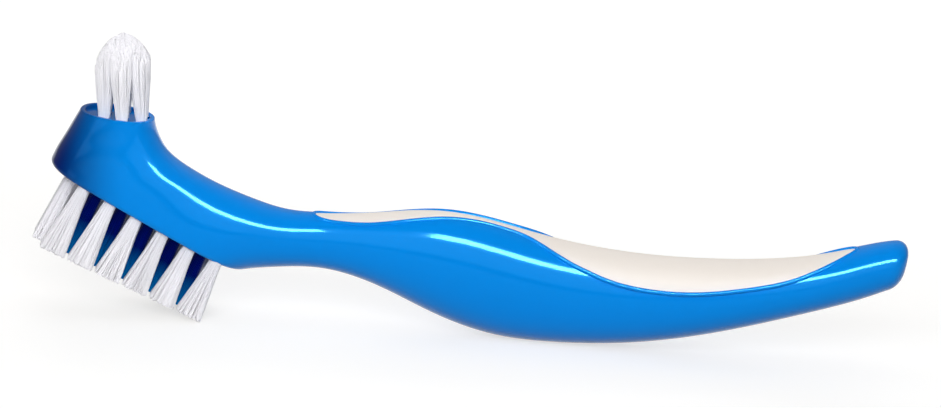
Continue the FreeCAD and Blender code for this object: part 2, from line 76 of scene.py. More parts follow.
class Combine(Enum):
    """Ways to combine two closed forms, with Blender's names."""

    JOIN = "UNION"
    CUT = "DIFFERENCE"
    KEEP_SHARED = "INTERSECT"


class BristleColour(Enum):
    """Colours of the nylon bristles, with the material slots of their solids."""

    WHITE = "white_nylon"
    BLUE = "blue_nylon"


def linear(hex_colour: str) -> tuple[float, float, float, float]:
    """Turn an sRGB hex colour to linear light.

    Args:
        hex_colour: Six hex digits, such as "1a7fd4".

    Returns:
        Red, green, blue and an alpha of 1.
    """
    parts = [int(hex_colour[i:i + 2], 16) / 255 for i in (0, 2, 4)]
    light = [p / 12.92 if p <= 0.04045 else ((p + 0.055) / 1.055) ** 2.4 for p in parts]
    return (*light, 1.0)


def add_node(tree: bpy.types.NodeTree, kind: str, settings: dict[str, object] | None = None,
             numbered: dict[int, object] | None = None, **named: object) -> bpy.types.Node:
    """Add one shader node with its settings and its inputs.

    Args:
        tree: Node tree of the material.
        kind: Node type, such as "ShaderNodeTexNoise".
        settings: Properties of the node itself.
        numbered: Inputs by their number, each with a socket or a value.
        named: Inputs by their name, with an underscore for a space, each likewise.

    Returns:
        The new node.
    """
    node = tree.nodes.new(kind)
    for name, value in (settings or {}).items():
        setattr(node, name, value)
    inputs = {name.replace("_", " "): value for name, value in named.items()}
    for place, value in {**(numbered or {}), **inputs}.items():
        if isinstance(value, bpy.types.NodeSocket):
            tree.links.new(value, node.inputs[place])
        else:
            node.inputs[place].default_value = value
    return node


def new_material(name: str) -> tuple[bpy.types.Material, bpy.types.NodeTree]:
    """Make an empty material.

    Args:
        name: Name of the real material and how it was made.

    Returns:
        The material and its node tree.
    """
    material = bpy.data.materials.new(name)
    material.use_nodes = True
    material.node_tree.nodes.clear()
    return material, material.node_tree


def only(piece: bpy.types.Object) -> None:
    """Select one object alone and make it the active one.

    Args:
        piece: The object.
    """
    bpy.ops.object.select_all(action="DESELECT")
    piece.select_set(True)
    bpy.context.view_layer.objects.active = piece


@contextmanager
def editing(piece: bpy.types.Object) -> Iterator[None]:
    """Work on one piece in edit mode, with all of it selected at first.

    Args:
        piece: The piece.

    Yields:
        Nothing, with edit mode on until the block ends.
    """
    only(piece)
    bpy.ops.object.mode_set(mode="EDIT")
    bpy.ops.mesh.select_all(action="SELECT")
    yield
    bpy.ops.object.mode_set(mode="OBJECT")


def face_outwards() -> None:
    """Point all faces of the piece in edit mode outwards."""
    bpy.ops.mesh.select_all(action="SELECT")
    bpy.ops.mesh.normals_make_consistent(inside=False)


def apply_modifier(piece: bpy.types.Object, kind: str, **settings: object) -> None:
    """Add a modifier with its settings and apply it.

    Args:
        piece: Object that gets the modifier.
        kind: Type of the modifier, such as "SUBSURF".
        settings: Properties of the modifier.
    """
    only(piece)
    modifier = piece.modifiers.new(kind.title(), kind)
    for name, value in settings.items():
        setattr(modifier, name, value)
    bpy.ops.object.modifier_apply(modifier=modifier.name)


def combine(piece: bpy.types.Object, other: bpy.types.Object, way: Combine) -> None:
    """Combine a piece with another closed form, which is then deleted.

    Args:
        piece: The piece that stays.
        other: The form that is used up.
        way: Whether the form is joined on, cut away, or bounds what is kept.
    """
    apply_modifier(piece, "BOOLEAN", object=other, operation=way.value, solver="MANIFOLD")
    bpy.data.objects.remove(other)


def pick(piece: bpy.types.Object, kind: Element,
         wanted: Callable[[bmesh.types.BMEdge | bmesh.types.BMFace], bool]) -> None:
    """Select the edges or faces that a test picks, in edit mode.

    Args:
        piece: Object in edit mode.
        kind: Whether edges or faces are picked.
        wanted: Test of one element.
    """
    bpy.ops.mesh.select_mode(type=kind.value)
    bpy.ops.mesh.select_all(action="DESELECT")
    mesh = bmesh.from_edit_mesh(piece.data)
    picked = [element for element in getattr(mesh, kind.name.lower()) if wanted(element)]
    for element in picked:
        element.select = True
    mesh.select_flush_mode()
    bmesh.update_edit_mesh(piece.data)


def settled(rings: list[list[Vector]]) -> list[list[Vector]]:
    """Move control rings until the smooth surface that they draw passes through the given rings.

    Args:
        rings: Rings that the surface shall pass through, in order along the piece.

    Returns:
        Control rings, with the first and last ones kept.
    """
    control = [[point.copy() for point in ring] for ring in rings]
    for _ in range(SETTLING_ROUNDS):
        for at in range(1, len(rings) - 1):
            for number, goal in enumerate(rings[at]):
                sides = control[at - 1][number] + control[at + 1][number]
                control[at][number] = (WHOLE_WEIGHT * goal - sides) / OWN_WEIGHT
    return control


def lofted(name: str, rings: list[list[Vector]], levels: int,
           straight: bool = False) -> bpy.types.Object:
    """Model a closed tube by extruding one ring from section to section, then smooth it.

    Args:
        name: Name of the object.
        rings: Rings of points that the tube passes through, in millimetres.
        levels: Levels of subdivision.
        straight: Keep the outline of each ring as straight lines between its corners.

    Returns:
        The tube, closed by a flat face at each end.
    """
    bpy.ops.object.select_all(action="DESELECT")
    bpy.ops.mesh.primitive_circle_add(vertices=len(rings[0]), radius=MM)
    piece = bpy.context.object
    piece.name = piece.data.name = name
    placed = None
    with editing(piece):
        for ring in settled(rings):
            if placed is not None:
                bpy.ops.mesh.extrude_edges_move()
            mesh = bmesh.from_edit_mesh(piece.data)
            chosen = [vertex for vertex in mesh.verts if vertex.select]
            if placed is not None:
                chosen = [min(chosen, key=lambda v: (v.co - spot).length) for spot in placed]
            placed = [point * MM for point in ring]
            for vertex, spot in zip(chosen, placed):
                vertex.co = spot
            bmesh.update_edit_mesh(piece.data)
        if straight:
            mesh = bmesh.from_edit_mesh(piece.data)
            crease = mesh.edges.layers.float.new("crease_edge")
            for edge in mesh.edges:
                edge[crease] = float(abs(edge.verts[0].co.x - edge.verts[1].co.x) > TINY)
            bmesh.update_edit_mesh(piece.data)
    apply_modifier(piece, "SUBSURF", levels=levels, render_levels=levels,
                   boundary_smooth="PRESERVE_CORNERS" if straight else "ALL")
    with editing(piece):
        bpy.ops.mesh.fill_holes(sides=0)
        face_outwards()
    return piece


@dataclass(frozen=True)
class Section:
    """One oval section of the handle, by its upper and lower point in the side view."""

    top_x: float
    top_z: float
    foot_x: float
    foot_z: float
    wide: float
    square: float

    @property
    def middle(self) -> Vector:
        """Middle of the section."""
        return Vector(((self.top_x + self.foot_x) / 2, 0, (self.top_z + self.foot_z) / 2))

    @property
    def rise(self) -> Vector:
        """Half of the way from the lower point to the upper one."""
        return Vector(((self.top_x - self.foot_x) / 2, 0, (self.top_z - self.foot_z) / 2))

    @property
    def normal(self) -> Vector:
        """Direction square to the section."""
        return self.rise.cross(Vector((0, 1, 0))).normalized()

    def ring(self, shrink: float = 0.0) -> list[Vector]:
        """Place the eight control points of the oval.

        Args:
            shrink: How far the oval is drawn inside the handle's surface.

        Returns:
            The points in order round the oval.
        """
        reach = WHOLE_WEIGHT / (OWN_WEIGHT + 2 * self.square)
        up = self.rise.normalized()
        tall = self.rise.length - shrink
        points = []
        for side, above in OVAL_POINTS:
            share = self.square if side and above else 1.0
            across = Vector((0, side * (self.wide - shrink) * reach * share, 0))
            points.append(self.middle + across + up * (above * tall * reach * share))
        return points


@dataclass(frozen=True)
class Hole:
    """Blind hole of one tuft: the middle of its mouth, the way out of it, and its radius."""

    mouth: Vector
    out: Vector
    radius: float


@dataclass(frozen=True)
class Handle:
    """The moulded handle with its head, and the soft inlay in the channel on top of it."""

    # From the rim of the collar, down through the head and the neck, to the end of the tail
    sections: tuple[Section, ...] = (
        Section(-62.75, 38.2, -77.05, 39.2, 6.5, 0.76),
        Section(-62.25, 36.2, -78.55, 36.2, 6.8, 0.77),
        Section(-61.25, 34.0, -79.95, 33.4, 7.0, 0.79),
        Section(-59.65, 31.7, -81.55, 30.2, 7.3, 0.81),
        Section(-57.05, 29.6, -83.45, 26.4, 7.5, 0.83),
        Section(-53.65, 27.7, -85.65, 21.0, 7.7, 0.85),
        Section(-49.65, 25.9, -78.85, 9.0, 7.8, 0.86),
        Section(-45.25, 24.3, -61.85, 5.4, 7.6, 0.84),
        Section(-41.05, 23.0, -46.65, 8.9, 6.9, 0.80),
        Section(-35.45, 21.9, -37.25, 10.6, 5.7, 0.77),
        Section(-27.75, 22.0, -27.95, 11.0, 5.1, 0.76),
        Section(-18.35, 23.0, -17.35, 8.5, 6.0, 0.76),
        Section(-9.05, 24.2, -6.65, 4.1, 7.2, 0.76),
        Section(1.75, 23.6, 4.55, 0.8, 7.9, 0.77),
        Section(15.65, 20.8, 16.65, 0.02, 8.1, 0.78),
        Section(32.35, 18.9, 31.95, 1.1, 8.0, 0.78),
        Section(50.15, 19.1, 48.15, 4.4, 7.7, 0.78),
        Section(66.65, 21.2, 63.65, 9.1, 6.9, 0.77),
        Section(78.75, 24.6, 75.55, 13.2, 5.9, 0.77),
        Section(85.35, 25.8, 84.05, 17.0, 5.0, 0.76),
    )
    levels: int = 4
    smooth_angle: float = 32.0
    # Stations of the channel: place along the handle, half width and height of the floor
    channel: tuple[tuple[float, float, float], ...] = (
        (-31.05, 0.6, 20.2), (-29.05, 2.4, 20.0), (-23.85, 3.3, 20.0), (-17.85, 3.7, 20.5),
        (-8.85, 3.2, 21.7), (-0.85, 2.2, 22.0), (7.65, 2.1, 21.2), (12.15, 3.1, 19.8),
        (17.15, 5.2, 17.3), (22.15, 6.4, 15.9), (28.15, 7.15, 14.3), (36.15, 7.45, 13.1),
        (46.15, 7.4, 13.1), (56.65, 6.85, 14.9), (64.15, 6.0, 17.2), (70.15, 4.2, 20.0),
        (73.95, 2.0, 22.0), (75.45, 0.6, 22.6),
    )
    channel_roof: float = 40.0
    channel_levels: int = 3
    inlay_gap: float = 0.06
    inlay_sink: float = 0.25
    # Flat base that the large brush stands out of
    base_point: tuple[float, float, float] = (-82.75, 0.0, 28.4)
    base_tilt: float = 26.0
    base_round: float = 0.8
    base_round_steps: int = 6
    tail_round: float = 2.6
    # Dish in the top of the collar
    rim_width: float = 0.9
    rim_round: float = 0.25
    rim_segments: int = 3
    dish_depth: float = 0.7
    # Bead round the mouth of the channel; the step is the spacing of its points
    lip_angle: float = 30.0
    lip_step: float = 0.6
    lip_easing: float = 0.5
    lip_passes: int = 4
    lip_radius: float = 0.45
    lip_facets: int = 4
    lip_outset: float = 1.045
    lip_sink: float = 0.22
    # The drills reach this far into the handle, and start this far outside it
    hole_depth: float = 4.2
    hole_start: float = 1.5
    hole_sides: int = 28

    def base_normal(self) -> Vector:
        """Direction square to the flat base, into the head."""
        tilt = math.radians(self.base_tilt)
        return Vector((math.sin(tilt), 0, math.cos(tilt)))

    def channel_form(self, gap: float) -> bpy.types.Object:
        """Model the space of the channel.

        Args:
            gap: Clearance to the channel's walls and floor.

        Returns:
            A closed form from the channel's floor to above the handle.
        """
        rings = []
        for along, half, floor in self.channel:
            side = half - gap
            low = floor + gap
            rings.append([Vector((along, side, low)), Vector((along, side, self.channel_roof)),
                          Vector((along, -side, self.channel_roof)), Vector((along, -side, low))])
        return lofted("channel_form", rings, self.channel_levels, straight=True)

    def tube(self, name: str, shrink: float = 0.0) -> bpy.types.Object:
        """Model the handle's outer form, drawn smaller by a given depth."""
        return lofted(name, [section.ring(shrink) for section in self.sections], self.levels)

    def cut_base(self, piece: bpy.types.Object) -> None:
        """Cut the head flat where the large brush stands out of it, and round the edge.

        Args:
            piece: The handle.
        """
        spot = Vector(self.base_point) * MM
        normal = self.base_normal()
        radius = self.base_round * MM
        with editing(piece):
            bpy.ops.mesh.bisect(plane_co=spot, plane_no=normal, use_fill=True, clear_inner=True)
            for step in range(1, self.base_round_steps):
                turn = step * math.pi / 2 / self.base_round_steps
                lift = self.base_round * (1 - math.sin(turn)) * MM
                bpy.ops.mesh.select_all(action="SELECT")
                bpy.ops.mesh.bisect(plane_co=spot + normal * lift, plane_no=normal)
        # The moves are worked out first, because each changes the normals of its neighbours
        moves = []
        for vertex in piece.data.vertices:
            lift = (vertex.co - spot).dot(normal)
            if lift < radius - TINY:
                outwards = vertex.normal - normal * vertex.normal.dot(normal)
                sunk = radius - math.sqrt(max(radius ** 2 - (radius - lift) ** 2, 0.0))
                moves.append((vertex, outwards.normalized() * sunk))
        for vertex, move in moves:
            vertex.co -= move

    def round_tail(self, piece: bpy.types.Object) -> None:
        """Round the edge of the tail's end face.

        Args:
            piece: The handle.
        """
        tail = self.sections[-1]
        end = tail.middle * MM
        before = self.sections[-2].middle * MM
        inwards = -tail.normal if tail.normal.x > 0 else tail.normal
        radius = self.tail_round * MM
        for vertex in piece.data.vertices:
            depth = (vertex.co - end).dot(inwards)
            if depth > radius or vertex.co.x < before.x:
                continue
            turn = (1 - max(depth, 0.0) / radius) * math.pi / 2
            middle = end + inwards * depth
            out = vertex.co - middle
            out.length -= radius * (1 - math.cos(turn))
            vertex.co = middle + out + inwards * (radius * (1 - math.sin(turn)) - depth)

    def add_lip(self, piece: bpy.types.Object) -> None:
        """Run a thin rounded lip round the mouth of the channel, along its sharp edge.

        Args:
            piece: The handle, with its channel cut.
        """
        first = (self.channel[0][0] - self.lip_step) * MM

        def on_mouth(edge: bmesh.types.BMEdge) -> bool:
            """Tell whether an edge lies on the mouth of the channel."""
            return (edge.is_manifold and edge.verts[0].co.x > first
                    and edge.calc_face_angle_signed(0) > math.radians(self.lip_angle))

        with editing(piece):
            pick(piece, Element.EDGES, on_mouth)
            bpy.ops.mesh.duplicate()
            bpy.ops.mesh.separate(type="SELECTED")
        lip = next(found for found in bpy.context.selected_objects if found != piece)
        with editing(lip):
            # The boolean leaves its points in any order, and the merge depends on their order
            mesh = bmesh.from_edit_mesh(lip.data)
            mesh.verts.sort(key=lambda vertex: vertex.co.dot(SORT_WAY))
            mesh.edges.sort(key=lambda edge: (edge.verts[0].co + edge.verts[1].co).dot(SORT_WAY))
            bmesh.update_edit_mesh(lip.data)
            bpy.ops.mesh.remove_doubles(threshold=self.lip_step * MM)
            bpy.ops.mesh.vertices_smooth(factor=self.lip_easing, repeat=self.lip_passes)
            bpy.ops.transform.resize(value=(1, self.lip_outset, 1))
            bpy.ops.transform.translate(value=(0, 0, -self.lip_sink * MM))
        bpy.ops.object.convert(target="CURVE")
        lip = bpy.context.object
        lip.data.bevel_depth = self.lip_radius * MM
        lip.data.bevel_resolution = self.lip_facets
        lip.data.use_fill_caps = True
        bpy.ops.object.convert(target="MESH")
        lip = bpy.context.object
        with editing(lip):
            bpy.ops.mesh.remove_doubles(threshold=TINY)
            face_outwards()
        combine(piece, lip, Combine.JOIN)

    def sink_dish(self, piece: bpy.types.Object) -> None:
        """Sink the shallow dish into the top of the collar and soften its rim.

        Args:
            piece: The handle.
        """
        rim = self.sections[0]
        spot = rim.middle * MM
        upwards = rim.normal if rim.normal.z > 0 else -rim.normal

        def in_rim(element: bmesh.types.BMEdge | bmesh.types.BMFace) -> bool:
            """Tell whether an edge or a face lies in the plane of the rim."""
            return all(abs((v.co - spot).dot(upwards)) < TINY for v in element.verts)

        def round_dish(edge: bmesh.types.BMEdge) -> bool:
            """Tell whether an edge of the rim borders a face that leaves its plane."""
            return in_rim(edge) and any(not in_rim(face) for face in edge.link_faces)

        with editing(piece):
            pick(piece, Element.FACES, in_rim)
            bpy.ops.mesh.inset(thickness=self.rim_width * MM)
            bpy.ops.mesh.extrude_region_move(
                TRANSFORM_OT_translate={"value": upwards * (-self.dish_depth * MM)})
            pick(piece, Element.EDGES, round_dish)
            bpy.ops.mesh.bevel(offset=self.rim_round * MM, segments=self.rim_segments,
                               affect="EDGES")

    def drill(self, piece: bpy.types.Object, holes: list[Hole]) -> None:
        """Drill the blind holes of the tufts.

        Args:
            piece: The handle.
            holes: The holes.
        """
        depth = self.hole_depth + self.hole_start
        drills = []
        for hole in holes:
            middle = hole.mouth + hole.out * ((self.hole_start - self.hole_depth) / 2)
            bpy.ops.object.select_all(action="DESELECT")
            bpy.ops.mesh.primitive_cylinder_add(
                vertices=self.hole_sides, radius=hole.radius * MM, depth=depth * MM,
                location=middle * MM, rotation=hole.out.to_track_quat("Z", "Y").to_euler())
            drills.append(bpy.context.object)
        for drill in drills:
            drill.select_set(True)
        bpy.ops.object.join()
        bpy.ops.object.transform_apply(location=True, rotation=True, scale=True)
        combine(piece, bpy.context.object, Combine.CUT)

    def build(self, holes: list[Hole]) -> tuple[bpy.types.Object, bpy.types.Object]:
        """Model the handle and its inlay.

        Args:
            holes: The holes of all tufts.

        Returns:
            The handle and the inlay.
        """
        moulding = self.tube("moulded_handle")
        self.round_tail(moulding)
        self.sink_dish(moulding)
        self.cut_base(moulding)
        combine(moulding, self.channel_form(0.0), Combine.CUT)
        self.add_lip(moulding)
        self.drill(moulding, holes)
        inlay = self.tube("grip_inlay_skin", self.inlay_sink)
        combine(inlay, self.channel_form(self.inlay_gap), Combine.KEEP_SHARED)
        for piece in (moulding, inlay):
            only(piece)
            bpy.ops.object.shade_smooth_by_angle(angle=math.radians(self.smooth_angle))
        return moulding, inlay


@dataclass(kw_only=True)
class Tuft(ABC):
    """One bundle of bristles that stands for one tuft of the solids."""

    node: str
    colour: BristleColour
    root: Vector
    # Turn of the brush's frame about the axis across the handle
    tilt: float
    # Radius of the bundle at each height above its root, from the mouth of its hole upwards
    spread: tuple[tuple[float, float], ...]
    # Height at which the bristles start, which is inside the hole
    start: float
    bristles: int
    thickness: float
    fit_gap: float = 0.05
    # How far the bundle turns from round at its root to square at its tips
    squareness: float = 0.0
    # Most by which a bristle is turned round the bundle, cut short, and led astray at its tip
    turn_jitter: float = 0.2
    tip_jitter: float = 0.07
    stray: float = 0.05

    @abstractmethod
    def height(self, across: float, aside: float) -> float:
        """Give the height of the trimmed tip above the root."""

    @abstractmethod
    def drift(self, height: float) -> Vector:
        """Give how far the bundle's middle has moved aside at a height above its root."""

    def oriented(self, spot: Vector) -> Vector:
        """Turn a point of the bundle to the side that its brush faces."""
        return spot

    def placed(self, spot: Vector) -> Vector:
        """Turn a point or a direction of the bundle into the handle's frame."""
        return Matrix.Rotation(math.radians(self.tilt), 3, "Y") @ self.oriented(spot)

    def hole(self) -> Hole:
        """Describe the hole that the tuft stands in."""
        return Hole(self.root, self.placed(Vector((0, 0, 1))), self.spread[0][1] + self.fit_gap)

    def radius_at(self, height: float) -> float:
        """Find the bundle's radius.

        Args:
            height: Height above the root.

        Returns:
            The radius there.
        """
        for (low, narrow), (high, wide) in zip(self.spread, self.spread[1:]):
            if height <= high:
                return narrow + (wide - narrow) * (height - low) / (high - low)
        return self.spread[-1][1]

    def build(self, bristle: bpy.types.Object, dice: random.Random) -> bpy.types.Object:
        """Copy one bristle to every place in the bundle.

        Args:
            bristle: Straight bristle of length 1 and radius 1.
            dice: Seeded source of small differences.

        Returns:
            The tuft as one object.
        """
        name = self.node + "_bristles"
        bundle = bmesh.new()
        tint = bundle.verts.layers.float_color.new("tint")
        for number in range(self.bristles):
            reach = math.sqrt((number + 0.5) / self.bristles)
            angle = number * GOLDEN_ANGLE + dice.uniform(-self.turn_jitter, self.turn_jitter)
            place = Vector((math.cos(angle), math.sin(angle), 0)) * reach
            self.add_bristle(bundle, bristle, place, dice, tint)
        mesh = bpy.data.meshes.new(name)
        bundle.to_mesh(mesh)
        bundle.free()
        piece = bpy.data.objects.new(name, mesh)
        bpy.context.collection.objects.link(piece)
        return piece

    def add_bristle(self, bundle: bmesh.types.BMesh, bristle: bpy.types.Object, place: Vector,
                    dice: random.Random, tint: bmesh.types.BMLayerItem) -> None:
        """Copy the bristle into the bundle and bend it from its root to its tip.

        Args:
            bundle: Mesh of the bundle.
            bristle: The bristle that is copied.
            place: Place of the bristle in a disc of radius 1.
            dice: Seeded source of small differences.
            tint: Vertex layer that keeps the place along the bristle and its own shade.
        """
        end = self.spread[-1][1]
        corner = place.length / max(abs(place.x), abs(place.y), TINY) - 1
        tip = self.height(place.x * end, place.y * end) + dice.uniform(-self.tip_jitter, 0.0)
        shade = dice.random()
        known = len(bundle.verts)
        bundle.from_mesh(bristle.data)
        bundle.verts.ensure_lookup_table()
        stray = Vector((dice.uniform(-self.stray, self.stray),
                        dice.uniform(-self.stray, self.stray), 0))
        for vertex in bundle.verts[known:]:
            share = vertex.co.z
            high = self.start + (tip - self.start) * share
            shown = max(high, 0.0)
            wide = self.radius_at(shown) - self.thickness
            wide *= 1 + self.squareness * corner * shown / tip
            spot = place * wide + stray * share + self.drift(shown)
            spot.x += vertex.co.x * self.thickness
            spot.y += vertex.co.y * self.thickness
            spot.z = high
            vertex[tint] = (shown / tip, shade, 0.0, 1.0)
            vertex.co = (self.root + self.placed(spot)) * MM


@dataclass(kw_only=True)
class FlatTuft(Tuft):
    """Tuft of the large brush, which faces down and is trimmed along one sloping plane."""

    length: float
    trim_slope: float
    lean: float

    def height(self, across: float, aside: float) -> float:
        """Give the height of the tip on the sloping trim plane."""
        return self.length - across * self.trim_slope

    def drift(self, height: float) -> Vector:
        """Give how far the leaning bundle has moved along the brush."""
        return Vector((math.tan(math.radians(self.lean)) * height, 0, 0))

    def oriented(self, spot: Vector) -> Vector:
        """Turn the bundle to face down."""
        return Vector((spot.x, spot.y, -spot.z))


@dataclass(kw_only=True)
class SmallTuft(Tuft):
    """Tuft of the small brush, which faces up and is trimmed to one rounded point."""

    # Place of the tuft from the middle of the brush
    across: float
    aside: float
    # Curve of the trim, from the peak out and down to the edge
    peak: float = 16.9
    edge_reach: float = 6.2
    edge_height: float = 8.6
    trim_radius: float = 10.0
    trim_shift: float = 0.3
    # The tufts of the ring lean in until they meet, and stand upright above that
    pull: float = 0.11
    meet_height: float = 7.5

    def height(self, across: float, aside: float) -> float:
        """Give the height of the tip under the rounded point.

        Args:
            across: Place along the brush, from the middle of the tuft.
            aside: Place across the brush, from the middle of the tuft.

        Returns:
            The height above the root.
        """
        middle = Vector((self.edge_reach / 2, (self.peak + self.edge_height) / 2))
        chord = Vector((self.edge_reach, self.edge_height - self.peak))
        back = math.sqrt(self.trim_radius ** 2 - (chord.length / 2) ** 2)
        centre = middle + Vector((chord.y, -chord.x)).normalized() * back
        stay = 1 - self.pull
        out = math.hypot(self.across * stay + across - self.trim_shift, self.aside * stay + aside)
        inside = self.trim_radius ** 2 - min(out - centre.x, self.trim_radius) ** 2
        return max(centre.y + math.sqrt(inside), self.edge_height)

    def drift(self, height: float) -> Vector:
        """Give how far the bundle's middle has moved towards the middle of the brush."""
        share = self.pull * min(height / self.meet_height, 1.0)
        return Vector((-self.across * share, -self.aside * share, 0))


@dataclass(frozen=True)
class Bristle:
    """One straight bristle of length 1 and radius 1, which every tuft copies."""

    sides: int = 5
    # Steps of the shaft, then the short step that narrows to round the tip off
    shaft: tuple[float, ...] = (0.3, 0.35, 0.33)
    tip_length: float = 0.02
    tip_share: float = 0.55

    def build(self) -> bpy.types.Object:
        """Model the bristle.

        Returns:
            The bristle, open at its hidden root.
        """
        bpy.ops.object.select_all(action="DESELECT")
        bpy.ops.mesh.primitive_circle_add(vertices=self.sides, radius=1)
        bristle = bpy.context.object
        with editing(bristle):
            for step in (*self.shaft, self.tip_length):
                bpy.ops.mesh.extrude_edges_move(TRANSFORM_OT_translate={"value": (0, 0, step)})
            bpy.ops.transform.resize(value=(self.tip_share, self.tip_share, 1))
            bpy.ops.mesh.edge_face_add()
            face_outwards()
        return bristle


@dataclass(frozen=True)
class FlatBrush:
    """The large brush under the head: two white outer rows and two inner rows."""

    handle: Handle
    columns: int = 6
    pitch: float = 5.85
    first: float = 5.6
    inner_row: float = 1.8
    row_gap: float = 3.6
    # Radius of a bundle at its hole and at its tips
    mouth: float = 1.2
    outer_tip: float = 2.78
    inner_tip: float = 1.72
    squareness: float = 0.9
    lean: float = 3.5
    full_length: float = 14.75
    trim_tilt: float = 4.55
    start: float = -1.0
    bristles: int = 300
    thickness: float = 0.13

    def tuft(self, node: str, lead: float, row: float, tip: float,
             colour: BristleColour) -> FlatTuft:
        """Describe one tuft.

        Args:
            node: Name of the solid that it stands for.
            lead: Distance along the base from the base's front point.
            row: Place across the brush.
            tip: Radius of the bundle at its tips.
            colour: Colour of its bristles.

        Returns:
            The tuft.
        """
        tilt = math.radians(self.handle.base_tilt)
        way = Vector((lead * math.cos(tilt), row, -lead * math.sin(tilt)))
        slope = math.tan(math.radians(self.trim_tilt))
        length = self.full_length - lead * slope
        return FlatTuft(node=node, colour=colour, root=Vector(self.handle.base_point) + way,
                        tilt=self.handle.base_tilt, spread=((0, self.mouth), (length, tip)),
                        start=self.start, bristles=self.bristles, thickness=self.thickness,
                        squareness=self.squareness, length=length, trim_slope=slope,
                        lean=self.lean)

    def tufts(self) -> list[FlatTuft]:
        """List the tufts of all four rows.

        Returns:
            The tufts. The first of each inner row is white, and the others are blue.
        """
        found = []
        for side, sign in (("near", -1), ("far", 1)):
            for column in range(self.columns):
                lead = self.first + column * self.pitch
                found.append(self.tuft(f"flat_tuft_outer_{side}_{column + 1}",
                                       lead + self.pitch / 2,
                                       sign * (self.inner_row + self.row_gap),
                                       self.outer_tip, BristleColour.WHITE))
                name = f"inner_{side}_{column}" if column else f"front_{side}"
                colour = BristleColour.BLUE if column else BristleColour.WHITE
                found.append(self.tuft(f"flat_tuft_{name}", lead, sign * self.inner_row,
                                       self.inner_tip, colour))
        return found


@dataclass(frozen=True)
class SmallBrush:
    """The small brush on the collar: a ring of tufts round a middle one, trimmed to a point."""

    handle: Handle
    offset: float = 1.2
    tilt: float = -4.6
    ring: float = 4.2
    ring_count: int = 6
    ring_start: float = 90.0
    mouth: float = 1.1
    # Height and radius of a bundle at its neck, where it has swollen, and past its tips
    neck_height: float = 0.6
    swell: tuple[float, float] = (7.5, 2.1)
    full: tuple[float, float] = (20.0, 2.2)
    start: float = -0.5
    bristles: int = 300
    thickness: float = 0.12

    def tuft(self, node: str, middle: Vector, across: float, aside: float) -> SmallTuft:
        """Describe one tuft.

        Args:
            node: Name of the solid that it stands for.
            middle: Middle of the brush, on the floor of the dish.
            across: Place of the tuft along the brush, from the middle.
            aside: Place of the tuft across the brush, from the middle.

        Returns:
            The tuft.
        """
        turn = Matrix.Rotation(math.radians(self.tilt), 3, "Y")
        return SmallTuft(node=node, colour=BristleColour.WHITE,
                         root=middle + turn @ Vector((across, aside, 0)), tilt=self.tilt,
                         spread=((0, self.mouth), (self.neck_height, self.mouth), self.swell,
                                 self.full),
                         start=self.start, bristles=self.bristles, thickness=self.thickness,
                         across=across, aside=aside)

    def tufts(self) -> list[SmallTuft]:
        """List the middle tuft and those of the ring.

        Returns:
            The tufts.
        """
        rim = self.handle.sections[0]
        run = rim.rise.normalized()
        down = Vector((run.z, 0, -run.x))
        middle = rim.middle + run * self.offset + down * self.handle.dish_depth
        found = [self.tuft("small_tuft_middle", middle, 0.0, 0.0)]
        for number in range(self.ring_count):
            angle = math.radians(self.ring_start + 360 * number / self.ring_count)
            found.append(self.tuft(f"small_tuft_ring_{number + 1}", middle,
                                   self.ring * math.cos(angle), self.ring * math.sin(angle)))
        return found


@dataclass(frozen=True)
class MouldedPolypropylene:
    """Glossy dyed polypropylene from a polished mould: clear reflections over a deep colour."""

    name: str = "polypropylene_moulded_blue"
    plastic_blue: str = "008cec"
    nose_shade: str = "00065e"
    roughness: float = 0.11
    ior: float = 1.49
    # The pigment close under the surface tints the shine
    shine: str = "59b9ff"
    # Painted shade: the blue darkens to navy towards the nose of the head
    nose_shade_start_mm: float = -82.0
    nose_shade_end_mm: float = -66.0
    # Slow waves of the moulded surface, as it shrinks from the mould
    ripple_mm: float = 14.0
    ripple_height_mm: float = 0.4
    ripple_strength: float = 0.05

    def material(self) -> bpy.types.Material:
        """Make the material.

        Returns:
            The material, with painted shade darkening the nose, and slightly waved.
        """
        material, tree = new_material(self.name)
        spot = add_node(tree, "ShaderNodeTexCoord").outputs["Object"]
        parts = add_node(tree, "ShaderNodeSeparateXYZ", Vector=spot)
        # Painted shade: a smoothstep along the handle mixes the navy shade in towards the nose
        nose_shade_mask = add_node(tree, "ShaderNodeMapRange", {"interpolation_type": "SMOOTHSTEP"},
                        Value=parts.outputs["X"], From_Min=self.nose_shade_start_mm * MM,
                        From_Max=self.nose_shade_end_mm * MM)
        colour = add_node(tree, "ShaderNodeMix", {"data_type": "RGBA"},
                          {MIX_FIRST: linear(self.nose_shade), MIX_SECOND: linear(self.plastic_blue)},
                          Factor=nose_shade_mask.outputs["Result"])
        ripple = add_node(tree, "ShaderNodeTexNoise", Vector=spot,
                          Scale=1 / (self.ripple_mm * MM), Detail=1.0)
        bump = add_node(tree, "ShaderNodeBump", Height=ripple.outputs["Fac"],
                        Strength=self.ripple_strength, Distance=self.ripple_height_mm * MM)
        plastic = add_node(tree, "ShaderNodeBsdfPrincipled",
                           Base_Color=colour.outputs[MIX_RESULT], Roughness=self.roughness,
                           IOR=self.ior, Specular_Tint=linear(self.shine),
                           Normal=bump.outputs["Normal"])
        add_node(tree, "ShaderNodeOutputMaterial", Surface=plastic.outputs["BSDF"])
        return material


